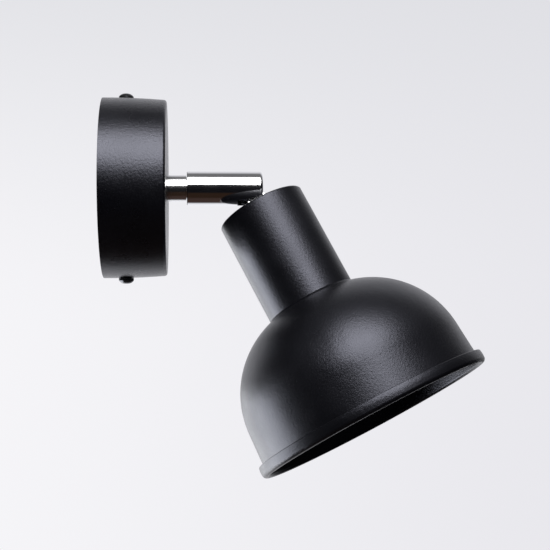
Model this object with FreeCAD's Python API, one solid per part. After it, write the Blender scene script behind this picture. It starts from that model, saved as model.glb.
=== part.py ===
import FreeCAD, Part
import math
import os

# Pivoting spotlight wall light.
# Frame: the wall is the plane x = 0, +X points away from it, +Z is up, and the origin
# is where the arm's axis meets the wall. All lengths are in mm, all angles in degrees.

V = FreeCAD.Vector
Turn = FreeCAD.Rotation
Place = FreeCAD.Placement
ORIGIN = V(0, 0, 0)
X = V(1, 0, 0)
Y = V(0, 1, 0)
Z = V(0, 0, 1)

# --- rest pose ---
swivel_rest = -13.0        # arm's turn about +X away from hanging straight down
tilt_rest = 26.3           # head's angle out from straight down
swivel_range = 145.0       # how far the arm turns each way from hanging straight down

# --- shared clearances ---
thread_gap = 0.02          # between a screw and its tapped hole, on the radius
running_gap = 0.05         # between a turning pin and its bore, on the radius
seat_gap = 0.3             # between parts that move past each other without touching
press_gap = 0.01           # between parts pushed together for good
EPS = 0.5                  # how far a cutting tool reaches past the face it opens

# --- wall canopy ---
canopy_back_radius = 40.0
canopy_taper = 0.85        # how much narrower the side wall is where it meets the front edge
canopy_swell = 0.28        # how far the side wall bows out of a straight cone
canopy_depth = 28.0
canopy_edge_radius = 1.3
canopy_wall = 1.0

# --- wall bracket ---
bracket_thick = 1.5
bracket_width = 14.0
bracket_disc_margin = 1.6  # metal left outside the earth screw
ear_width = 12.0
ear_margin = 2.7           # metal left in front of the side screws
wall_slot_spacing = 50.0
wall_slot_width = 4.5
wall_slot_length = 9.0
shelf_width = 16.0
shelf_margin = 0.5

# --- side screws that hold the canopy ---
side_screw_x = 9.9
side_screw_radius = 2.0
side_screw_length = 6.0
side_screw_clearance = 0.2
side_head_radius = 3.35
side_head_height = 2.4
screw_slot_width = 0.9
screw_slot_depth = 0.9

# --- cable inlet ---
grommet_hole_radius = 6.0
grommet_bore_radius = 4.0
grommet_flange = 2.0
grommet_flange_thick = 1.2

# --- terminal block ---
block_end_wall = 1.0
block_width = 13.0
block_height = 12.5
block_canopy_gap = 4.0     # between the block's corners and the canopy
pole_count = 3
pole_pitch = 9.0
sleeve_radius = 2.4
sleeve_bore_radius = 1.5
sleeve_height = 6.5        # axis of the sleeves above the bracket
block_screw_radius = 1.5
block_screw_head_radius = 2.7
block_fix_radius = 1.5

# --- earth point on the bracket ---
earth_grommet_gap = 0.4    # between the ring terminal and the grommet
earth_screw_radius = 2.0
earth_head_radius = 3.5
earth_head_height = 2.0
lug_thick = 0.8
lug_ring_radius = 4.0
lug_barrel_radius = 1.9
lug_barrel_length = 6.0

# --- swivel stub between canopy and arm ---
stub_collar_radius = 6.0
stub_collar_length = 8.55
stub_thread_radius = 5.0
stub_tail_length = 10.0
stub_bore_radius = 2.8
spigot_radius = 5.0
spigot_length = 16.0
groove_depth = 1.05
stop_land_angle = 30.0

# --- ten-millimetre lamp thread nuts ---
nut_flats = 14.0
nut_height = 4.0
washer_thick = 0.8
washer_radius = 7.2

# --- swivel arm ---
arm_radius = 7.65
arm_nose = 5.6             # from the pivot to the arm's end
arm_end_rounding = 1.4
arm_back_chamfer = 0.2
arm_wire_radius = 3.0
arm_reach = 28.15          # from the arm's back end to the pivot
slot_clearance = 1.0       # round the tongue's eye

# --- stop screw in the arm ---
stop_screw_setback = 9.5   # from the end of the stub's collar
stop_screw_radius = 2.0
stop_tip_radius = 1.1

# --- tilt pivot ---
tongue_thick = 5.6
tongue_width = 8.0
eye_radius = 4.6
pin_radius = 2.5
pin_head_rim = 1.3
pin_head_height = 2.2
pin_seat = 1.8             # cheek left under the pin's head
pin_blind = 3.0            # thread depth in the closed cheek
pivot_washer_thick = 0.5
pivot_washer_inset = 0.2   # inside the eye's edge
pivot_side_gap = 0.1
tongue_flange_rim = 1.5
tongue_flange_thick = 0.6
tongue_bore_radius = 2.0
tongue_exit_radius = 1.6
nipple_reach = 2.5         # past the inside of the lampholder's top
nipple_bore_radius = 3.2

# --- neck cup; distances along the head are measured from the tilt pivot ---
neck_top = 10.7
neck_radius = 20.0
neck_wall = 1.0
neck_top_thick = 1.5
neck_edge_rounding = 0.8
neck_length = 48.1

# --- dome shade ---
dome_round_radius = 41.3
dome_round_offset = 9.3    # centre of the round profile, off the head's axis
dome_round_drop = 40.5     # centre of the round profile below the neck's end
dome_flare = 2.9
dome_wall = 1.0
dome_shoulder = 1.36       # how far past the neck the round profile starts
dome_depth = 58.5
bead_height = 5.2
bead_overhang = 2.4        # how far the bead's widest ring stands out past the dome's skin
bead_top_corner = 0.35
bead_back_lean = 12.0      # the bead's slope below its top corner, degrees, widening
bead_front_lean = 8.0      # its slope where the round of the mouth begins, degrees, narrowing
bead_mouth_corner = 1.7
bead_inner_corner = 1.4

# --- lampholder ---
holder_radius = 14.0
holder_wall = 1.6
holder_nut_gap = 1.0
holder_cap_top_thick = 3.5
holder_cap_length = 20.0
holder_shoulder_rim = 1.8
holder_shoulder_thick = 2.0
holder_tail = 5.7          # past the shoulder's face
holder_bore_gap = 0.7      # round the screw shell
carrier_thick = 6.0
shell_bore_radius = 7.0
shell_wall = 0.5
shell_length = 18.0        # past the step
shell_step = 1.5
shell_step_gap = 0.4       # past the centre contact
contact_radius = 2.2
contact_height = 2.0
holder_screw_offset = 7.5
holder_screw_radius = 1.5
holder_screw_head_radius = 2.6
ring_rim = 3.0
ring_inset = 0.5           # from the lampholder's end
ring_clearance = 0.3
ring_edge_gap = 0.8        # to the inside of the dome
ring_notch_radius = 0.9
ring_notch_floor = 0.8

# --- insulated wires ---
canopy_wire_radius = 1.05
head_wire_radius = 0.8
wire_bundle_radius = 1.4

# Sizes and places that follow from the values above.
canopy_lip_radius = canopy_back_radius - canopy_taper
canopy_inner_face = canopy_depth - canopy_wall
grommet_rim = grommet_hole_radius + grommet_flange
earth_screw_y = -(grommet_rim + earth_grommet_gap + lug_ring_radius)
bracket_disc_radius = earth_screw_radius + bracket_disc_margin - earth_screw_y
ear_reach = side_screw_x + side_screw_radius + ear_margin
block_length = pole_count * pole_pitch + 2 * block_end_wall
block_corner_radius = canopy_lip_radius - canopy_wall - block_canopy_gap
block_outer_y = math.sqrt(block_corner_radius ** 2 - (block_length / 2) ** 2)
block_centre_y = block_outer_y - block_width / 2
stub_collar_end = canopy_depth + stub_collar_length
spigot_end = stub_collar_end + spigot_length
stop_screw_x = stub_collar_end + stop_screw_setback
arm_start = stub_collar_end + seat_gap
arm_bore_radius = spigot_radius + running_gap
pivot_x = arm_start + arm_reach
arm_end = pivot_x + arm_nose
slot_start = pivot_x - eye_radius - slot_clearance
slot_top = eye_radius + slot_clearance
slot_half = tongue_thick / 2 + pivot_side_gap + pivot_washer_thick
pin_head_radius = pin_radius + pin_head_rim
pivot_washer_radius = eye_radius - pivot_washer_inset
tongue_flange_radius = stub_thread_radius + tongue_flange_rim
neck_end = neck_top + neck_length
dome_round_centre = neck_end + dome_round_drop
mouth_at = neck_end + dome_depth
mouth_bead_start = mouth_at - bead_height
holder_cap_start = neck_top + neck_top_thick + washer_thick + nut_height + holder_nut_gap
nipple_end = holder_cap_start + holder_cap_top_thick + nipple_reach
holder_split = holder_cap_start + holder_cap_length
holder_end = neck_end + holder_tail
holder_shoulder_radius = holder_radius + holder_shoulder_rim
holder_bore_radius = shell_bore_radius + shell_wall + holder_bore_gap
ring_radius = holder_radius + ring_rim
arm_frame = Place(ORIGIN, Turn(X, swivel_rest))
head_frame = arm_frame.multiply(Place(V(pivot_x, 0, 0), Turn(Y, -tilt_rest)))


def save(shape, name, frame=None):
    """Write one node's solid, moved from its own frame into the shared one."""
    if frame is not None:
        shape = shape.copy()
        shape.Placement = frame.multiply(shape.Placement)
    shape.exportStep("parts/" + name + ".step")


def cyl(radius, start, direction, length):
    return Part.makeCylinder(radius, length, start, direction)


def box(low, high):
    size = high.sub(low)
    return Part.makeBox(size.x, size.y, size.z, low)


def line(a, b):
    return Part.LineSegment(a, b).toShape()


def arc(a, middle, b):
    return Part.Arc(a, middle, b).toShape()


def spin(edges, axis, angle=360.0):
    """Turn a closed outline about an axis through the origin."""
    return Part.Face(Part.Wire(edges)).revolve(ORIGIN, axis, angle)


def polygon(points):
    return [line(a, b) for a, b in zip(points, points[1:] + points[:1])]


def lathe_x(points):
    """A body turned about X from straight-sided (x, radius) points."""
    return spin(polygon([V(x, 0, r) for x, r in points]), X)


def on_head(s, r=0.0):
    """A point on the head's lengthwise section: s along the axis, r away from it."""
    return V(r, 0, -s)


def lathe_head(points):
    """A body turned about the head's axis from straight-sided (s, radius) points."""
    return spin(polygon([on_head(s, r) for s, r in points]), Z)


def cyl_head(radius, s_from, s_to, x=0.0, y=0.0):
    return cyl(radius, V(x, y, -s_to), Z, s_to - s_from)


def tube_head(outer, inner, s_from, s_to):
    return lathe_head([(s_from, inner), (s_from, outer), (s_to, outer), (s_to, inner)])


def hexagon(flats, start, direction, height):
    """A six-sided prism standing on start."""
    corner = flats / math.sqrt(3)
    points = []
    for k in range(6):
        a = math.radians(60 * k)
        points.append(V(corner * math.cos(a), corner * math.sin(a), 0))
    face = Part.Face(Part.Wire(polygon(points)))
    prism = face.extrude(V(0, 0, height))
    prism.Placement = Place(start, Turn(Z, direction))
    return prism


def pan_screw(head_radius, head_height, shank_radius, shank_length, slot_width, slot_depth):
    """A slotted screw with a low domed head: the head sits on z = 0, the shank hangs below."""
    drum = head_height * 0.45
    crown = head_radius * 0.72
    outline = [
        line(V(0, 0, -shank_length), V(shank_radius, 0, -shank_length)),
        line(V(shank_radius, 0, -shank_length), V(shank_radius, 0, 0)),
        line(V(shank_radius, 0, 0), V(head_radius, 0, 0)),
        line(V(head_radius, 0, 0), V(head_radius, 0, drum)),
        arc(V(head_radius, 0, drum), V(crown, 0, head_height * 0.84), V(0, 0, head_height)),
        line(V(0, 0, head_height), V(0, 0, -shank_length)),
    ]
    body = spin(outline, Z)
    half = slot_width / 2
    reach = head_radius + EPS
    notch = box(V(-reach, -half, head_height - slot_depth), V(reach, half, head_height + EPS))
    return body.cut(notch)


def placed(shape, start, direction, roll=0.0):
    """Stand a shape modelled along +Z on start, with its +Z along direction."""
    copy = shape.copy()
    copy.Placement = Place(start, Turn(Z, direction).multiply(Turn(Z, roll)))
    return copy


def wire(points, radius):
    """A round wire along straight runs joined by arcs that touch both runs."""
    edges = []
    start = points[0]
    for k in range(1, len(points) - 1):
        before = points[k].sub(points[k - 1])
        after = points[k + 1].sub(points[k])
        shorter = min(before.Length, after.Length)
        trim = 0.45 * shorter
        into = V(before).normalize()
        out = V(after).normalize()
        first = points[k].sub(V(into).multiply(trim))
        last = points[k].add(V(out).multiply(trim))
        half_turn = into.getAngle(out) / 2
        bend = trim / math.tan(half_turn)
        inward = V(out).sub(into).normalize()
        middle = points[k].add(V(inward).multiply(bend * (1 / math.cos(half_turn) - 1)))
        edges.append(line(start, first))
        edges.append(arc(first, middle, last))
        start = last
        print("wire bend radius", round(bend, 2), "for wire radius", radius)
    edges.append(line(start, points[-1]))
    path = Part.Wire(edges)
    section = Part.Wire(Part.makeCircle(radius, points[0], points[1].sub(points[0])))
    return path.makePipeShell([section], True, False)


# ---------------------------------------------------------------- wall side

def canopy_solid(inset):
    """The canopy's outside shape, shrunk inward everywhere by inset."""
    back = canopy_back_radius - inset
    lip = canopy_lip_radius - inset
    face = canopy_depth - inset
    corner = canopy_edge_radius - inset
    lip_x = face - corner
    face_r = lip - corner
    bulge = V(lip_x / 2, 0, (back + lip) / 2 + canopy_swell)
    diagonal = corner * math.sqrt(0.5)
    outline = [
        line(V(0, 0, 0), V(0, 0, back)),
        arc(V(0, 0, back), bulge, V(lip_x, 0, lip)),
        arc(V(lip_x, 0, lip), V(lip_x + diagonal, 0, face_r + diagonal), V(face, 0, face_r)),
        line(V(face, 0, face_r), V(face, 0, 0)),
        line(V(face, 0, 0), V(0, 0, 0)),
    ]
    return spin(outline, X)


def side_screw_holes(radius):
    top = canopy_back_radius + EPS
    return cyl(radius, V(side_screw_x, 0, -top), Z, 2 * top)


def canopy_shell():
    shell = canopy_solid(0.0).cut(canopy_solid(canopy_wall))
    stub_hole = stub_thread_radius + press_gap
    shell = shell.cut(cyl(stub_hole, V(canopy_inner_face - EPS, 0, 0), X, canopy_wall + 2 * EPS))
    return shell.cut(side_screw_holes(side_screw_radius + side_screw_clearance))


def ear_face():
    """Height of the ears' outer faces, just inside the round canopy."""
    inner = canopy_lip_radius - canopy_wall
    return math.sqrt(inner ** 2 - (ear_width / 2) ** 2) - seat_gap


def long_hole(z):
    """A cutting tool for a wall-screw slot along Z, centred at height z."""
    half = (wall_slot_length - wall_slot_width) / 2
    r = wall_slot_width / 2
    deep = bracket_thick + 2 * EPS
    tool = box(V(-EPS, -r, z - half), V(bracket_thick + EPS, r, z + half))
    for end in (-half, half):
        tool = tool.fuse(cyl(r, V(-EPS, 0, z + end), X, deep))
    return tool.removeSplitter()


def wall_bracket():
    reach = ear_face()
    plate = box(V(0, -bracket_width / 2, -reach), V(bracket_thick, bracket_width / 2, reach))
    plate = plate.fuse(cyl(bracket_disc_radius, ORIGIN, X, bracket_thick))
    shelf_end = block_outer_y + shelf_margin
    plate = plate.fuse(box(V(0, 0, -shelf_width / 2), V(bracket_thick, shelf_end, shelf_width / 2)))
    for side in (-1, 1):
        low, high = sorted((side * reach, side * (reach - bracket_thick)))
        plate = plate.fuse(box(V(0, -ear_width / 2, low), V(ear_reach, ear_width / 2, high)))
    deep = bracket_thick + 2 * EPS
    plate = plate.cut(cyl(grommet_hole_radius, V(-EPS, 0, 0), X, deep))
    for side in (-1, 1):
        plate = plate.cut(long_hole(side * wall_slot_spacing / 2))
    plate = plate.cut(cyl(earth_screw_radius + thread_gap, V(-EPS, earth_screw_y, 0), X, deep))
    plate = plate.cut(cyl(block_fix_radius + thread_gap, V(-EPS, block_centre_y, pole_pitch / 2), X, deep))
    plate = plate.cut(side_screw_holes(side_screw_radius + thread_gap))
    return plate.removeSplitter()


def canopy_screws():
    screw = pan_screw(side_head_radius, side_head_height, side_screw_radius, side_screw_length,
                      screw_slot_width, screw_slot_depth)
    seat = canopy_back_radius + press_gap
    top = placed(screw, V(side_screw_x, 0, seat), Z)
    bottom = placed(screw, V(side_screw_x, 0, -seat), V(0, 0, -1))
    return Part.makeCompound([top, bottom])


def cable_grommet():
    fit = grommet_hole_radius - press_gap
    face = bracket_thick + grommet_flange_thick
    return lathe_x([(0, grommet_bore_radius), (0, fit), (bracket_thick, fit), (bracket_thick, grommet_rim),
                    (face, grommet_rim), (face, grommet_bore_radius)])


def pole_heights():
    middle = (pole_count - 1) / 2
    return [(k - middle) * pole_pitch for k in range(pole_count)]


def clamp_places():
    """Where the clamping screws stand: two on each sleeve."""
    step = block_width / 4
    return [(block_centre_y + side * step, z) for z in pole_heights() for side in (-1, 1)]


def terminal_block():
    low = V(bracket_thick, block_centre_y - block_width / 2, -block_length / 2)
    high = V(bracket_thick + block_height, block_centre_y + block_width / 2, block_length / 2)
    body = box(low, high)
    body = body.makeFillet(0.8, body.Edges)
    axis_x = bracket_thick + sleeve_height
    for z in pole_heights():
        start = V(axis_x, low.y - EPS, z)
        body = body.cut(cyl(sleeve_radius + press_gap, start, Y, block_width + 2 * EPS))
    for y, z in clamp_places():
        well = cyl(block_screw_head_radius, V(axis_x, y, z), X, block_height)
        body = body.cut(well)
    fix = V(bracket_thick - EPS, block_centre_y, pole_pitch / 2)
    body = body.cut(cyl(block_fix_radius + thread_gap, fix, X, block_height + 2 * EPS))
    head = V(bracket_thick + block_height / 3, block_centre_y, pole_pitch / 2)
    return body.cut(cyl(fix_head_radius(), head, X, block_height))


def fix_head_radius():
    """The fixing screw's head fits between two poles."""
    return pole_pitch / 2 - sleeve_radius - press_gap - 0.2


def terminal_sleeves():
    axis_x = bracket_thick + sleeve_height
    sleeves = []
    for z in pole_heights():
        start = V(axis_x, block_centre_y - block_width / 2 + 1.0, z)
        length = block_width - 2.0
        tube = cyl(sleeve_radius, start, Y, length).cut(cyl(sleeve_bore_radius, start, Y, length))
        for y, height in clamp_places():
            if height == z:
                tapped = cyl(block_screw_radius + thread_gap, V(axis_x, y, z), X, sleeve_radius + EPS)
                tube = tube.cut(tapped)
        sleeves.append(tube)
    return Part.makeCompound(sleeves)


def terminal_screws():
    axis_x = bracket_thick + sleeve_height
    tip = canopy_wire_radius + press_gap
    screws = []
    for y, z in clamp_places():
        shank = cyl(block_screw_radius, V(axis_x + tip, y, z), X, sleeve_radius + 0.4 - tip)
        head = cyl(block_screw_head_radius - 0.3, V(axis_x + sleeve_radius + 0.4, y, z), X, 2.0)
        top = axis_x + sleeve_radius + 2.4
        notch = box(V(top - 0.8, y - block_screw_head_radius, z - 0.35),
                    V(top + EPS, y + block_screw_head_radius, z + 0.35))
        screws.append(shank.fuse(head).cut(notch).removeSplitter())
    return Part.makeCompound(screws)


def block_screw():
    """The screw that holds the terminal block down on the bracket."""
    seat = V(bracket_thick + block_height / 3 + press_gap, block_centre_y, pole_pitch / 2)
    screw = pan_screw(fix_head_radius() - 0.2, 1.6, block_fix_radius, block_height / 3 + bracket_thick,
                      0.6, 0.7)
    return placed(screw, seat, X)


def earth_lug():
    """A ring terminal: a flat ring under the earth screw and a barrel that grips the wire."""
    base = V(bracket_thick, earth_screw_y, 0)
    ring = cyl(lug_ring_radius, base, X, lug_thick)
    barrel_start = V(bracket_thick + lug_barrel_radius, earth_screw_y, -lug_ring_radius - 1.0)
    down = V(0, 0, -1)
    barrel = cyl(lug_barrel_radius, barrel_start, down, lug_barrel_length)
    tongue = box(V(bracket_thick, earth_screw_y - lug_barrel_radius, -lug_ring_radius - 2.0),
                 V(bracket_thick + lug_thick, earth_screw_y + lug_barrel_radius, 0))
    lug = ring.fuse(barrel).fuse(tongue)
    lug = lug.cut(cyl(earth_screw_radius + seat_gap, V(0, earth_screw_y, 0), X, bracket_thick + 2))
    hole = cyl(canopy_wire_radius + press_gap, barrel_start.add(V(0, 0, EPS)), down,
               lug_barrel_length + 2 * EPS)
    return lug.cut(hole).removeSplitter()


def earth_screw():
    seat = V(bracket_thick + lug_thick, earth_screw_y, 0)
    screw = pan_screw(earth_head_radius, earth_head_height, earth_screw_radius,
                      lug_thick + bracket_thick, screw_slot_width, screw_slot_depth)
    return placed(screw, seat, X)


def stub_washer():
    """A lock washer against the inside of the canopy's face."""
    outer = cyl(washer_radius, V(canopy_inner_face - washer_thick, 0, 0), X, washer_thick)
    return outer.cut(cyl(stub_thread_radius + thread_gap, V(0, 0, 0), X, canopy_depth))


def stub_nut():
    face = canopy_inner_face - washer_thick - nut_height
    nut = hexagon(nut_flats, V(face, 0, 0), X, nut_height)
    return nut.cut(cyl(stub_thread_radius + thread_gap, V(0, 0, 0), X, canopy_depth))


def swivel_stub():
    """The hollow stub: threaded tail, collar outside the canopy, and the spigot the arm turns on."""
    tail = canopy_depth - stub_tail_length
    groove_low = stop_screw_x - stop_tip_radius - seat_gap
    groove_high = stop_screw_x + stop_tip_radius + seat_gap
    body = lathe_x([(tail, stub_bore_radius), (tail, stub_thread_radius),
                    (canopy_depth, stub_thread_radius), (canopy_depth, stub_collar_radius),
                    (stub_collar_end, stub_collar_radius), (stub_collar_end, spigot_radius),
                    (spigot_end, spigot_radius), (spigot_end, stub_bore_radius)])
    floor = spigot_radius - groove_depth
    outer = spigot_radius + EPS
    sector = [V(groove_low, floor, 0), V(groove_high, floor, 0), V(groove_high, outer, 0),
              V(groove_low, outer, 0)]
    half = (360 - stop_land_angle) / 2
    section = Part.Face(Part.Wire(polygon(sector)))
    section.rotate(ORIGIN, X, -half)
    return body.cut(section.revolve(ORIGIN, X, 2 * half))


# ---------------------------------------------------------------- arm, in the arm's own frame

def swivel_arm():
    """The chrome arm: a bore for the stub, a slot for the tongue and a cross bore for the pivot."""
    round_x = arm_end - arm_end_rounding
    round_r = arm_radius - arm_end_rounding
    diagonal = arm_end_rounding * math.sqrt(0.5)
    back_axis = V(arm_start, 0, 0)
    back_edge = V(arm_start, 0, arm_radius - arm_back_chamfer)
    chamfer_end = V(arm_start + arm_back_chamfer, 0, arm_radius)
    side_end = V(round_x, 0, arm_radius)
    round_middle = V(round_x + diagonal, 0, round_r + diagonal)
    end_edge = V(arm_end, 0, round_r)
    end_axis = V(arm_end, 0, 0)
    arm = spin([
        line(back_axis, back_edge),
        line(back_edge, chamfer_end),
        line(chamfer_end, side_end),
        arc(side_end, round_middle, end_edge),
        line(end_edge, end_axis),
        line(end_axis, back_axis),
    ], X)
    bore_end = spigot_end + seat_gap
    arm = arm.cut(cyl(arm_bore_radius, V(arm_start - EPS, 0, 0), X, bore_end - arm_start + EPS))
    arm = arm.cut(cyl(arm_wire_radius, V(arm_start, 0, 0), X, slot_start + EPS - arm_start))
    arm = arm.cut(box(V(slot_start, -slot_half, -arm_radius - EPS), V(arm_end + EPS, slot_half, slot_top)))
    arm = arm.cut(cyl(stop_screw_radius + thread_gap, V(stop_screw_x, 0, 0), Y, arm_radius + EPS))
    cheek_seat = slot_half + pin_seat
    arm = arm.cut(cyl(pin_radius + thread_gap, V(pivot_x, -slot_half - pin_blind, 0), Y, 3 * arm_radius))
    return arm.cut(cyl(pin_head_radius + seat_gap, V(pivot_x, cheek_seat, 0), Y, arm_radius))


def stop_screw():
    """A dog-point set screw whose tip runs in the stub's groove."""
    tip_end = spigot_radius - groove_depth + seat_gap
    body_start = arm_bore_radius + seat_gap
    body_end = arm_radius - 0.6
    tip = cyl(stop_tip_radius, V(stop_screw_x, tip_end, 0), Y, body_start - tip_end)
    body = cyl(stop_screw_radius, V(stop_screw_x, body_start, 0), Y, body_end - body_start)
    socket = hexagon(2.0, V(stop_screw_x, body_end - 1.2, 0), Y, 1.2 + EPS)
    return tip.fuse(body).removeSplitter().cut(socket)


def pivot_screw():
    """The shouldered screw that the tongue turns on, put in from the far cheek."""
    seat = slot_half + pin_seat
    screw = pan_screw(pin_head_radius, pin_head_height, pin_radius, seat + slot_half + pin_blind - seat_gap,
                      1.0, 1.0)
    return placed(screw, V(pivot_x, seat, 0), Y)


def pivot_washers():
    washers = []
    for start in (slot_half - pivot_washer_thick, -slot_half):
        disc = cyl(pivot_washer_radius, V(pivot_x, start, 0), Y, pivot_washer_thick)
        bore = cyl(pin_radius + thread_gap, V(pivot_x, start - EPS, 0), Y, pivot_washer_thick + 2 * EPS)
        washers.append(disc.cut(bore))
    return Part.makeCompound(washers)


# ---------------------------------------------------------------- head, in the head's own frame

def tilt_tongue():
    """The chrome tongue: an eye on the pivot, a flat stem, a flange and the threaded nipple."""
    half = tongue_thick / 2
    flange_start = neck_top - tongue_flange_thick
    tongue = cyl(eye_radius, V(0, -half, 0), Y, tongue_thick)
    stem_end = neck_top - tongue_flange_thick / 2
    tongue = tongue.fuse(box(V(-tongue_width / 2, -half, -stem_end), V(tongue_width / 2, half, 0)))
    tongue = tongue.fuse(cyl_head(tongue_flange_radius, flange_start, neck_top))
    tongue = tongue.fuse(cyl_head(stub_thread_radius, flange_start, nipple_end)).removeSplitter()
    tongue = tongue.cut(cyl(pin_radius + running_gap, V(0, -half - EPS, 0), Y, tongue_thick + 2 * EPS))
    exit_at = eye_radius + tongue_exit_radius + seat_gap
    tongue = tongue.cut(cyl_head(nipple_bore_radius, neck_top + tongue_flange_thick, nipple_end + EPS))
    tongue = tongue.cut(cyl_head(tongue_bore_radius, exit_at, nipple_end))
    return tongue.cut(cyl(tongue_exit_radius, V(0, 0, -exit_at), V(-1, 0, 0), tongue_width))


def neck_cup():
    """The drawn cup: a closed top with a rounded edge and an open lower end on the shade."""
    e = neck_edge_rounding
    inner = neck_radius - neck_wall
    under = neck_top + neck_top_thick
    hole = stub_thread_radius + press_gap
    middle = on_head(neck_top + e - e * math.sqrt(0.5), neck_radius - e + e * math.sqrt(0.5))
    outline = [
        line(on_head(neck_top, hole), on_head(neck_top, neck_radius - e)),
        arc(on_head(neck_top, neck_radius - e), middle, on_head(neck_top + e, neck_radius)),
        line(on_head(neck_top + e, neck_radius), on_head(neck_end, neck_radius)),
        line(on_head(neck_end, neck_radius), on_head(neck_end, inner)),
        line(on_head(neck_end, inner), on_head(under, inner)),
        line(on_head(under, inner), on_head(under, hole)),
        line(on_head(under, hole), on_head(neck_top, hole)),
    ]
    return spin(outline, Z)


def dome_radius(s, inset):
    """Radius of the dome's skin at distance s, on its round part."""
    r = dome_round_radius - inset
    return dome_round_offset + math.sqrt(r ** 2 - (dome_round_centre - s) ** 2)


def round_start(radius, inset):
    """Where, near the neck, the dome's round part has this radius."""
    r = dome_round_radius - inset
    return dome_round_centre - math.sqrt(r ** 2 - (radius - dome_round_offset) ** 2)


def flare_point(s, inset):
    """A point on the straight flared skirt below the round part."""
    a = math.radians(dome_flare)
    r = dome_round_radius - inset
    start_s = dome_round_centre - r * math.sin(a)
    start_r = dome_round_offset + r * math.cos(a)
    return on_head(s, start_r + (s - start_s) * math.tan(a))


def flare_start(inset):
    a = math.radians(dome_flare)
    return dome_round_centre - (dome_round_radius - inset) * math.sin(a)


def dome_shade():
    """The spun dome with its clamping flange at the neck and a folded bead round the mouth."""
    hole = holder_radius + ring_clearance
    top = neck_end
    under = top + dome_wall
    rim = neck_radius + 0.1
    outer_start = round_start(neck_radius + dome_shoulder, 0.0)
    inner_start = round_start(ring_radius + ring_edge_gap, dome_wall)
    skin = []
    for inset, start in ((0.0, outer_start), (dome_wall, inner_start)):
        middle = (start + flare_start(inset)) / 2
        skin.append((on_head(start, dome_radius(start, inset)),
                     on_head(middle, dome_radius(middle, inset)),
                     flare_point(flare_start(inset), inset)))
    outer, inner = skin
    bead_top = flare_point(mouth_bead_start, 0.0)
    bead_in = flare_point(mouth_at - bead_inner_corner, dome_wall)
    outline = [
        line(on_head(top, hole), on_head(top, rim)),
        line(on_head(top, rim), outer[0]),
        arc(*outer),
        line(outer[2], bead_top),
    ]
    outline += bead_edges(bead_top, bead_in)
    outline += [
        line(bead_in, inner[2]),
        arc(inner[2], inner[1], inner[0]),
        line(inner[0], on_head(under, ring_radius + ring_edge_gap)),
        line(on_head(under, ring_radius + ring_edge_gap), on_head(under, hole)),
        line(on_head(under, hole), on_head(top, hole)),
    ]
    return spin(outline, Z)


def bead_point(centre_s, centre_r, radius, lean):
    """A point on one of the bead's arcs, where the outline faces lean radians towards the mouth."""
    return on_head(centre_s + radius * math.sin(lean), centre_r + radius * math.cos(lean))


def bead_edges(skin_out, skin_in):
    """The bead's outline, from the outer skin round the mouth and back to the inner skin.

    Three arcs follow one another without a crease: top corner, swell and mouth corner."""
    back, front = -math.radians(bead_back_lean), math.radians(bead_front_lean)
    edge = math.pi / 2
    top_s = mouth_bead_start + bead_top_corner
    low_s = mouth_at - bead_mouth_corner
    shoulder_s = top_s + bead_top_corner * math.sin(back)
    waist_s = low_s + bead_mouth_corner * math.sin(front)
    swell = (waist_s - shoulder_s) / (math.sin(front) - math.sin(back))
    swell_r = skin_out.x + bead_overhang - swell
    top = (top_s, swell_r + (swell - bead_top_corner) * math.cos(back), bead_top_corner)
    middle = (shoulder_s - swell * math.sin(back), swell_r, swell)
    low = (low_s, swell_r + (swell - bead_mouth_corner) * math.cos(front), bead_mouth_corner)
    step = bead_point(*top, -edge)
    shoulder = bead_point(*top, back)
    waist = bead_point(*low, front)
    lip = bead_point(*low, edge)
    soft = 1 - math.sqrt(0.5)
    inner_lip = on_head(mouth_at, skin_in.x + bead_inner_corner)
    inner_round = on_head(mouth_at - bead_inner_corner * soft, skin_in.x + bead_inner_corner * soft)
    return [
        line(skin_out, step),
        arc(step, bead_point(*top, (back - edge) / 2), shoulder),
        arc(shoulder, bead_point(*middle, (back + front) / 2), waist),
        arc(waist, bead_point(*low, (front + edge) / 2), lip),
        line(lip, inner_lip),
        arc(inner_lip, inner_round, skin_in),
    ]


def head_washer():
    start = neck_top + neck_top_thick
    return tube_head(washer_radius, stub_thread_radius + thread_gap, start, start + washer_thick)


def head_nut():
    start = neck_top + neck_top_thick + washer_thick
    nut = hexagon(nut_flats, on_head(start + nut_height), Z, nut_height)
    return nut.cut(cyl_head(stub_thread_radius + thread_gap, start - EPS, start + nut_height + EPS))


def holder_cap():
    """The lampholder's upper cap, screwed on the nipple."""
    start = holder_cap_start
    under = start + holder_cap_top_thick
    inner = holder_radius - holder_wall
    thread = stub_thread_radius + thread_gap
    return lathe_head([(start, thread), (start, holder_radius - 1.5), (start + 1.5, holder_radius),
                       (holder_split, holder_radius), (holder_split, inner), (under, inner),
                       (under, thread)])


def holder_skirt():
    """The lampholder's lower body with the shoulder that the shade is clamped against."""
    shoulder = neck_end - holder_shoulder_thick
    return lathe_head([(holder_split, holder_bore_radius), (holder_split, holder_radius),
                       (shoulder, holder_radius), (shoulder, holder_shoulder_radius),
                       (neck_end, holder_shoulder_radius), (neck_end, holder_radius),
                       (holder_end, holder_radius), (holder_end, holder_bore_radius)])


def contact_carrier():
    """The insulating disc inside the cap that carries the contacts and the terminal screws."""
    inner = holder_radius - holder_wall - press_gap
    disc = cyl_head(inner, holder_split - carrier_thick, holder_split)
    for side in (-1, 1):
        x = side * holder_screw_offset
        disc = disc.cut(cyl_head(holder_screw_radius + thread_gap, 0, neck_end, x))
        wire_depth = holder_split - carrier_thick / 2
        disc = disc.cut(cyl_head(head_wire_radius + 0.05, 0, wire_depth, x, wire_side()))
    return disc


def wire_side():
    """How far to the side of its terminal screw each wire ends."""
    return holder_screw_head_radius + head_wire_radius + 0.2


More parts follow.
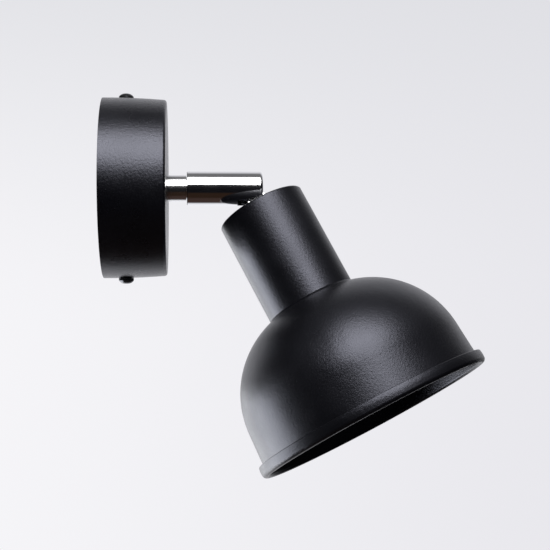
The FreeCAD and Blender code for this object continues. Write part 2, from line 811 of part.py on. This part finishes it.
def carrier_screws():
    screw = pan_screw(holder_screw_head_radius, 1.8, holder_screw_radius, carrier_thick - 0.5, 0.7, 0.8)
    seat = holder_split - carrier_thick
    screws = [placed(screw, on_head(seat, side * holder_screw_offset), Z) for side in (-1, 1)]
    return Part.makeCompound(screws)


def socket_shell():
    """The screw shell that takes the lamp's cap, with an inner step that the cap's end stops on."""
    outer = shell_bore_radius + shell_wall
    step_radius = shell_bore_radius - shell_step
    step_at = holder_split + contact_height + shell_step_gap
    end = step_at + shell_length
    return lathe_head([(holder_split, step_radius), (holder_split, holder_bore_radius - press_gap),
                       (holder_split + shell_wall, holder_bore_radius - press_gap),
                       (holder_split + shell_wall, outer), (end, outer), (end, shell_bore_radius),
                       (step_at, shell_bore_radius), (step_at, step_radius)])


def centre_contact():
    """The sprung contact at the bottom of the screw shell."""
    return lathe_head([(holder_split, 0), (holder_split, contact_radius + 1.0),
                       (holder_split + 0.5, contact_radius + 1.0), (holder_split + 0.5, contact_radius),
                       (holder_split + contact_height, contact_radius * 0.6),
                       (holder_split + contact_height, 0)])


def shade_ring():
    """The threaded ring under the shade's flange, with grip notches round its edge."""
    start = neck_end + dome_wall
    ring = tube_head(ring_radius, holder_radius + thread_gap, start, holder_end - ring_inset)
    for k in range(12):
        a = math.radians(30 * k)
        x, y = ring_radius * math.cos(a), ring_radius * math.sin(a)
        ring = ring.cut(cyl_head(ring_notch_radius, start + ring_notch_floor, holder_end, x, y))
    return ring


# ---------------------------------------------------------------- insulated wires

def canopy_wire(pole, turn):
    """A wire from a pole of the terminal block into the hollow stub."""
    z = pole_heights()[pole]
    axis_x = bracket_thick + sleeve_height
    mouth_y = block_centre_y - block_width / 2
    a = math.radians(turn)
    y_in = wire_bundle_radius * math.cos(a)
    z_in = wire_bundle_radius * math.sin(a)
    tail = canopy_depth - stub_tail_length
    return wire([V(axis_x, mouth_y + 2.0, z), V(axis_x, mouth_y - 5.0, z),
                 V(axis_x + 1.0, y_in, z_in), V(tail + 8.0, y_in, z_in)], canopy_wire_radius)


def earth_wire():
    z = pole_heights()[0]
    axis_x = bracket_thick + sleeve_height
    mouth_y = block_centre_y - block_width / 2
    barrel_x = bracket_thick + lug_barrel_radius
    barrel_z = -lug_ring_radius - 1.0
    low = barrel_z - lug_barrel_length - 4.0
    return wire([V(axis_x, mouth_y + 2.0, z), V(axis_x, mouth_y - 4.0, z),
                 V(barrel_x, earth_screw_y + 8.0, low), V(barrel_x, earth_screw_y, low),
                 V(barrel_x, earth_screw_y, barrel_z - 1.0)], canopy_wire_radius)


def head_wire(side):
    """A wire from the nipple's bore to one terminal of the lampholder."""
    x = side * holder_screw_offset
    end = holder_split - carrier_thick / 2
    inside = side * (nipple_bore_radius - head_wire_radius - seat_gap)
    above = holder_split - carrier_thick - 2.0
    return wire([on_head(nipple_end - 8.0, inside), on_head(nipple_end + 1.5, inside),
                 V(x, wire_side(), -above), V(x, wire_side(), -end)], head_wire_radius)


os.makedirs("parts", exist_ok=True)

save(canopy_shell(), "canopy_shell")
save(wall_bracket(), "wall_bracket")
save(canopy_screws(), "canopy_screws")
save(cable_grommet(), "cable_grommet")
save(terminal_block(), "terminal_block")
save(terminal_sleeves(), "terminal_sleeves")
save(terminal_screws(), "terminal_screws")
save(block_screw(), "block_screw")
save(earth_lug(), "earth_lug")
save(earth_screw(), "earth_screw")
save(stub_washer(), "stub_washer")
save(stub_nut(), "stub_nut")
save(swivel_stub(), "swivel_stub")
save(canopy_wire(2, 50), "live_wire")
save(canopy_wire(1, -50), "neutral_wire")
save(earth_wire(), "earth_wire")

save(swivel_arm(), "swivel_arm", arm_frame)
save(stop_screw(), "stop_screw", arm_frame)
save(pivot_screw(), "pivot_screw", arm_frame)
save(pivot_washers(), "pivot_washers", arm_frame)

save(tilt_tongue(), "tilt_tongue", head_frame)
save(neck_cup(), "neck_cup", head_frame)
save(dome_shade(), "dome_shade", head_frame)
save(head_washer(), "head_washer", head_frame)
save(head_nut(), "head_nut", head_frame)
save(holder_cap(), "holder_cap", head_frame)
save(holder_skirt(), "holder_skirt", head_frame)
save(contact_carrier(), "contact_carrier", head_frame)
save(carrier_screws(), "carrier_screws", head_frame)
save(socket_shell(), "socket_shell", head_frame)
save(centre_contact(), "centre_contact", head_frame)
save(shade_ring(), "shade_ring", head_frame)
save(head_wire(1), "head_live_wire", head_frame)
save(head_wire(-1), "head_neutral_wire", head_frame)
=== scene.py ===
import math
import bpy
from mathutils import Matrix, Quaternion, Vector

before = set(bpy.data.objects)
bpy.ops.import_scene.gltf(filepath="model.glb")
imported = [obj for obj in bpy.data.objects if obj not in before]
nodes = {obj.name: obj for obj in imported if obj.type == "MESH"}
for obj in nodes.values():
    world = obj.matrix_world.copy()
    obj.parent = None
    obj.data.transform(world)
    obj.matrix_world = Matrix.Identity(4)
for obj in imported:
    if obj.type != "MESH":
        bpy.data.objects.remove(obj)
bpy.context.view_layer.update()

# ---------------------------------------------------------------- named values
# Lengths are in metres and angles in degrees, unless a name says otherwise.

COAT_BLACK = (0.001, 0.001, 0.0015)
COAT_GLEAM = (0.82, 0.84, 1.0, 1.0)      # tint of the coat's highlights
CHROME_DULL = (0.78, 0.78, 0.79)
CHROME_BRIGHT = (0.86, 0.86, 0.87)
NOISE_MIDDLE = (0.3, 0.7)                # most of a noise's values lie between these

FLOOR_MIDDLE = (0.1, 0.0, -0.8)
FLOOR_RADIUS = 2.6
FLOOR_FADE = (1.2, 2.5)                  # the floor fades out between these distances
RIM_POINTS = 96

OUTWARD = (1.0, 0.0, 0.0)                # from the wall into the room
UPWARD = (0.0, 0.0, 1.0)
LIT_POINT = Vector((0.07, 0.0, -0.03))   # what the lights are aimed at
LIGHT_DISTANCE = 1.2
WARM_WHITE = (1.0, 0.99, 0.98)
COOL_WHITE = (0.95, 0.97, 1.0)

# The camera was fitted to the object's outline in the photograph.
IMAGE_PIXELS = 550.0
FOCAL_PIXELS = 1129.443
SENSOR_MM = 36.0
CAMERA_PLACE = (0.038637, -0.504675, -0.061943)
CAMERA_YAW = 4.244
CAMERA_PITCH = 2.612
CAMERA_ROLL = -0.377

# Sockets of a Mix node that mixes colours.
MIX_FACTOR, MIX_FIRST, MIX_SECOND, MIX_RESULT = 0, 6, 7, 2


# ---------------------------------------------------------------- node helpers

def new_material(name):
    """A material with its node tree and its shader."""
    mat = bpy.data.materials.new(name)
    mat.use_nodes = True
    tree = mat.node_tree
    return mat, tree, tree.nodes["Principled BSDF"]


def add(tree, kind, **settings):
    """A new node with its own settings, such as its operation."""
    node = tree.nodes.new(kind)
    for key, value in settings.items():
        setattr(node, key, value)
    return node


def noise(tree, scale, detail, rough=0.5):
    """Noise over the object's own coordinates, in cycles per metre."""
    where = add(tree, "ShaderNodeTexCoord")
    tex = add(tree, "ShaderNodeTexNoise")
    tex.inputs["Scale"].default_value = scale
    tex.inputs["Detail"].default_value = detail
    tex.inputs["Roughness"].default_value = rough
    tree.links.new(where.outputs["Object"], tex.inputs["Vector"])
    return tex.outputs["Fac"]


def spread(tree, fac, low, high, start, end):
    """Map the values from start to end onto the range low to high."""
    ramp = add(tree, "ShaderNodeMapRange")
    ramp.inputs["From Min"].default_value = start
    ramp.inputs["From Max"].default_value = end
    ramp.inputs["To Min"].default_value = low
    ramp.inputs["To Max"].default_value = high
    tree.links.new(fac, ramp.inputs["Value"])
    return ramp.outputs["Result"]


def bump(tree, shader, height, strength, distance):
    """Raise the surface by a 0 to 1 value, at most by distance."""
    node = add(tree, "ShaderNodeBump")
    node.inputs["Strength"].default_value = strength
    node.inputs["Distance"].default_value = distance
    tree.links.new(height, node.inputs["Height"])
    tree.links.new(node.outputs["Normal"], shader.inputs["Normal"])


def blend(tree, fac, first, second):
    """Mix two colours, each given as a socket or as a plain colour."""
    mix = add(tree, "ShaderNodeMix", data_type="RGBA")
    for value, index in ((first, MIX_FIRST), (second, MIX_SECOND)):
        if isinstance(value, tuple):
            mix.inputs[index].default_value = (*value, 1.0)
        else:
            tree.links.new(value, mix.inputs[index])
    tree.links.new(fac, mix.inputs[MIX_FACTOR])
    return mix.outputs[MIX_RESULT]


def vary(tree, shader, patch, colours, roughs):
    """Let the colour and the roughness drift between two values each."""
    tree.links.new(blend(tree, patch, *colours), shader.inputs["Base Color"])
    tree.links.new(spread(tree, patch, *roughs, *NOISE_MIDDLE), shader.inputs["Roughness"])


# ---------------------------------------------------------------- kinds of material

def powder_coat(name, colour, rough, grain):
    """Powder coat with a fine grain of the given height and slightly uneven gloss."""
    mat, tree, shader = new_material(name)
    patch = noise(tree, scale=55.0, detail=4.0)
    lighter = tuple(c * 1.6 for c in colour)
    vary(tree, shader, patch, (colour, lighter), (rough - 0.03, rough + 0.04))
    shader.inputs["Specular Tint"].default_value = COAT_GLEAM
    fine = noise(tree, scale=1000.0, detail=3.0, rough=0.75)
    bump(tree, shader, fine, strength=1.0, distance=grain)
    return mat


def polished_chrome(name, rough):
    """Bright chrome plate with faint haze and very shallow polishing waves."""
    mat, tree, shader = new_material(name)
    shader.inputs["Metallic"].default_value = 1.0
    haze = noise(tree, scale=90.0, detail=4.0)
    vary(tree, shader, haze, (CHROME_DULL, CHROME_BRIGHT), (rough - 0.02, rough + 0.02))
    waves = noise(tree, scale=260.0, detail=2.0)
    bump(tree, shader, waves, strength=0.05, distance=0.00003)
    return mat


def turned_metal(name, colour, rough):
    """Plated or turned hardware with fine scratches and dull patches."""
    mat, tree, shader = new_material(name)
    shader.inputs["Metallic"].default_value = 1.0
    patch = noise(tree, scale=180.0, detail=5.0)
    darker = tuple(c * 0.8 for c in colour)
    vary(tree, shader, patch, (darker, colour), (rough, rough + 0.15))
    scratches = noise(tree, scale=900.0, detail=4.0)
    bump(tree, shader, scratches, strength=0.15, distance=0.00003)
    return mat


def moulded(name, colour, rough, sheen=0.0):
    """Moulded plastic, ceramic or rubber with a fine texture."""
    mat, tree, shader = new_material(name)
    patch = noise(tree, scale=120.0, detail=3.0)
    lighter = tuple(min(1.0, c * 1.12 + 0.002) for c in colour)
    vary(tree, shader, patch, (colour, lighter), (rough - 0.05, rough + 0.05))
    shader.inputs["Sheen Weight"].default_value = sheen
    fine = noise(tree, scale=1800.0, detail=2.0)
    bump(tree, shader, fine, strength=0.25, distance=0.00004)
    return mat


def striped(name, first, second, rough):
    """Wire insulation in two colours that run in stripes along the wire."""
    mat, tree, shader = new_material(name)
    where = add(tree, "ShaderNodeTexCoord")
    wave = add(tree, "ShaderNodeTexWave", bands_direction="DIAGONAL")
    wave.inputs["Scale"].default_value = 130.0
    tree.links.new(where.outputs["Object"], wave.inputs["Vector"])
    step = add(tree, "ShaderNodeMath", operation="GREATER_THAN")
    step.inputs[1].default_value = 0.6
    tree.links.new(wave.outputs["Fac"], step.inputs[0])
    tree.links.new(blend(tree, step.outputs[0], first, second), shader.inputs["Base Color"])
    shader.inputs["Roughness"].default_value = rough
    return mat


# ---------------------------------------------------------------- materials on the nodes

coat = powder_coat("black_powder_coat", COAT_BLACK, rough=0.34, grain=0.00009)
canopy_coat = powder_coat("canopy_powder_coat", COAT_BLACK, rough=0.28, grain=0.00013)
lacquer = powder_coat("black_screw_lacquer", (0.008, 0.008, 0.008), rough=0.22, grain=0.000008)
chrome = polished_chrome("polished_chrome", rough=0.11)
collar_chrome = polished_chrome("satin_chrome", rough=0.17)
zinc = turned_metal("zinc_plate", (0.62, 0.63, 0.66), rough=0.3)
brass = turned_metal("plain_brass", (0.78, 0.58, 0.27), rough=0.22)
phenolic = moulded("black_phenolic", (0.018, 0.017, 0.017), rough=0.32)
nylon = moulded("white_nylon", (0.78, 0.78, 0.76), rough=0.45)
ceramic = moulded("steatite", (0.83, 0.81, 0.76), rough=0.35)
rubber = moulded("black_rubber", (0.02, 0.02, 0.02), rough=0.65, sheen=0.1)
brown = moulded("brown_insulation", (0.16, 0.06, 0.025), rough=0.4)
blue = moulded("blue_insulation", (0.03, 0.1, 0.42), rough=0.4)
green = striped("green_yellow_insulation", (0.06, 0.28, 0.05), (0.75, 0.62, 0.04), rough=0.4)

LOOKS = {
    "canopy_shell": canopy_coat, "neck_cup": coat, "dome_shade": coat,
    "canopy_screws": lacquer,
    "swivel_stub": collar_chrome,
    "swivel_arm": chrome, "pivot_screw": chrome, "tilt_tongue": chrome,
    "wall_bracket": zinc, "terminal_screws": zinc, "block_screw": zinc, "earth_lug": zinc,
    "stub_washer": zinc, "stub_nut": zinc, "stop_screw": zinc, "pivot_washers": zinc,
    "head_washer": zinc, "head_nut": zinc,
    "terminal_sleeves": brass, "earth_screw": brass, "carrier_screws": brass,
    "socket_shell": brass, "centre_contact": brass,
    "holder_cap": phenolic, "holder_skirt": phenolic, "shade_ring": phenolic,
    "terminal_block": nylon, "contact_carrier": ceramic, "cable_grommet": rubber,
    "live_wire": brown, "head_live_wire": brown,
    "neutral_wire": blue, "head_neutral_wire": blue, "earth_wire": green,
}

for name, obj in nodes.items():
    mat = LOOKS[name]
    if not obj.material_slots:
        obj.data.materials.append(mat)
    for entry in obj.material_slots:
        entry.material = mat


# ---------------------------------------------------------------- floor

def disc(name, radius, centre):
    """A flat round plate facing up."""
    mesh = bpy.data.meshes.new(name)
    angles = [k * math.tau / RIM_POINTS for k in range(RIM_POINTS)]
    rim = [(radius * math.cos(a), radius * math.sin(a), 0) for a in angles]
    mesh.from_pydata(rim, [], [tuple(range(RIM_POINTS))])
    obj = bpy.data.objects.new(name, mesh)
    obj.location = centre
    bpy.context.scene.collection.objects.link(obj)
    return obj


def fade(tree, shader, start, end):
    """Let the stage's surface fade out between two distances from its middle."""
    where = add(tree, "ShaderNodeTexCoord")
    length = add(tree, "ShaderNodeVectorMath", operation="LENGTH")
    tree.links.new(where.outputs["Object"], length.inputs[0])
    clear = add(tree, "ShaderNodeBsdfTransparent")
    mix = add(tree, "ShaderNodeMixShader")
    tree.links.new(spread(tree, length.outputs["Value"], 0.0, 1.0, start, end), mix.inputs[0])
    tree.links.new(shader.outputs[0], mix.inputs[1])
    tree.links.new(clear.outputs[0], mix.inputs[2])
    tree.links.new(mix.outputs[0], tree.nodes["Material Output"].inputs["Surface"])


floor = disc("floor", FLOOR_RADIUS, FLOOR_MIDDLE)
floor.visible_glossy = False
floor_mat, floor_tree, floor_shader = new_material("pale_floor")
speck = noise(floor_tree, scale=3.0, detail=2.0)
pale = blend(floor_tree, speck, (0.74, 0.74, 0.76), (0.78, 0.78, 0.8))
floor_tree.links.new(pale, floor_shader.inputs["Base Color"])
floor_shader.inputs["Roughness"].default_value = 0.8
fade(floor_tree, floor_shader, *FLOOR_FADE)
floor.data.materials.append(floor_mat)

# ---------------------------------------------------------------- world

world = bpy.data.worlds.new("studio")
bpy.context.scene.world = world
world.use_nodes = True
wt = world.node_tree
wt.nodes.clear()


def seen(tree):
    """The light path node, and 1 for camera, glossy and transmission rays, 0 for the rest."""
    path = add(tree, "ShaderNodeLightPath")
    first = add(tree, "ShaderNodeMath", operation="MAXIMUM")
    second = add(tree, "ShaderNodeMath", operation="MAXIMUM")
    tree.links.new(path.outputs["Is Camera Ray"], first.inputs[0])
    tree.links.new(path.outputs["Is Glossy Ray"], first.inputs[1])
    tree.links.new(first.outputs[0], second.inputs[0])
    tree.links.new(path.outputs["Is Transmission Ray"], second.inputs[1])
    return path, second.outputs[0]


path, shown = seen(wt)
direction = add(wt, "ShaderNodeTexCoord").outputs["Generated"]


def towards(vector, start, end):
    """0 to 1 as the direction turns towards vector; start and end are cosines."""
    dot = add(wt, "ShaderNodeVectorMath", operation="DOT_PRODUCT")
    dot.inputs[1].default_value = vector
    wt.links.new(direction, dot.inputs[0])
    ramp = add(wt, "ShaderNodeMapRange", interpolation_type="SMOOTHSTEP")
    ramp.inputs["From Min"].default_value = start
    ramp.inputs["From Max"].default_value = end
    wt.links.new(dot.outputs["Value"], ramp.inputs["Value"])
    return ramp.outputs["Result"]


# What the camera sees behind the object: it darkens away from the wall and overhead.
backdrop = blend(wt, towards(OUTWARD, -0.3, 0.45), (0.925, 0.92, 0.945), (0.8, 0.795, 0.835))
backdrop = blend(wt, towards(UPWARD, -0.02, 0.45), backdrop, (0.715, 0.72, 0.755))

# What shiny surfaces mirror: a dark room that is grey overhead, with these patches, each
# given by its direction, the cosines where it starts and is full, and its colour.
MIRRORED_PATCHES = (
    ((0.0, -0.35, -0.94), 0.79, 0.87, (0.026, 0.0145, 0.0095)),
    ((0.0, 0.1, -0.995), 0.88, 0.97, (0.05, 0.031, 0.026)),
    ((0.159, 0.9, 0.407), 0.62, 0.97, (0.8, 0.8, 0.84)),
    ((-0.079, 0.903, -0.423), 0.72, 0.97, (1.0, 1.0, 1.04)),
    ((-0.633, 0.754, 0.14), 0.9, 0.99, (1.0, 1.0, 1.04)),
)
room = blend(wt, towards(UPWARD, 0.25, 0.85), (0.005, 0.005, 0.0065), (0.17, 0.17, 0.175))
for vector, start, full, colour in MIRRORED_PATCHES:
    room = blend(wt, towards(vector, start, full), room, colour)

glossy = add(wt, "ShaderNodeBackground")
wt.links.new(room, glossy.inputs["Color"])
camera_bg = add(wt, "ShaderNodeBackground")
wt.links.new(backdrop, camera_bg.inputs["Color"])
ambient = add(wt, "ShaderNodeBackground")
ambient.inputs["Color"].default_value = (0.9, 0.93, 1.0, 1.0)
ambient.inputs["Strength"].default_value = 0.35

mirrored_or_seen = add(wt, "ShaderNodeMixShader")
wt.links.new(path.outputs["Is Camera Ray"], mirrored_or_seen.inputs[0])
wt.links.new(glossy.outputs[0], mirrored_or_seen.inputs[1])
wt.links.new(camera_bg.outputs[0], mirrored_or_seen.inputs[2])
surroundings = add(wt, "ShaderNodeMixShader")
wt.links.new(shown, surroundings.inputs[0])
wt.links.new(ambient.outputs[0], surroundings.inputs[1])
wt.links.new(mirrored_or_seen.outputs[0], surroundings.inputs[2])
out = add(wt, "ShaderNodeOutputWorld")
wt.links.new(surroundings.outputs[0], out.inputs[0])


# ---------------------------------------------------------------- lights

def soft_light(name, size, azimuth, elevation, watts, colour, roll=0):
    """A rectangular soft light aimed at LIT_POINT.

    Azimuth 0 is on the camera's side, 90 to its right, and roll lowers the light's right side.
    """
    data = bpy.data.lights.new(name, "AREA")
    data.shape = "RECTANGLE"
    data.size, data.size_y = size
    data.energy = watts
    data.color = colour
    obj = bpy.data.objects.new(name, data)
    a, e = math.radians(azimuth), math.radians(elevation)
    away = Vector((math.sin(a) * math.cos(e), -math.cos(a) * math.cos(e), math.sin(e)))
    obj.location = LIT_POINT + away * LIGHT_DISTANCE
    turn = (-away).to_track_quat("-Z", "Y") @ Quaternion((0.0, 0.0, 1.0), math.radians(-roll))
    obj.rotation_euler = turn.to_euler()
    bpy.context.scene.collection.objects.link(obj)


soft_light("key", (1.0, 0.88), 2, 43.5, 23.5, WARM_WHITE, roll=16)
soft_light("top", (0.95, 0.32), 3, 69, 1.4, WARM_WHITE)
soft_light("side", (0.85, 1.15), -110, -33, 19, COOL_WHITE)
soft_light("rear", (0.67, 1.0), -145, -28, 4.3, COOL_WHITE)

# ---------------------------------------------------------------- camera

cam_data = bpy.data.cameras.new("camera")
cam_data.sensor_width = SENSOR_MM
cam_data.lens = FOCAL_PIXELS * SENSOR_MM / IMAGE_PIXELS
cam_data.clip_start = 0.01
cam_data.clip_end = 20.0
cam = bpy.data.objects.new("camera", cam_data)
yaw, pitch, roll = (math.radians(a) for a in (CAMERA_YAW, CAMERA_PITCH, CAMERA_ROLL))
level = math.cos(pitch)
forward = Vector((math.sin(yaw) * level, math.cos(yaw) * level, math.sin(pitch)))
right = Vector((math.cos(yaw), -math.sin(yaw), 0.0))
up = right.cross(forward)
right_r = right * math.cos(roll) + up * math.sin(roll)
up_r = up * math.cos(roll) - right * math.sin(roll)
turn = Matrix((right_r, up_r, -forward)).transposed()
cam.matrix_world = Matrix.Translation(CAMERA_PLACE) @ turn.to_4x4()
bpy.context.scene.collection.objects.link(cam)
bpy.context.scene.camera = cam
bpy.context.scene.view_settings.view_transform = "Standard"
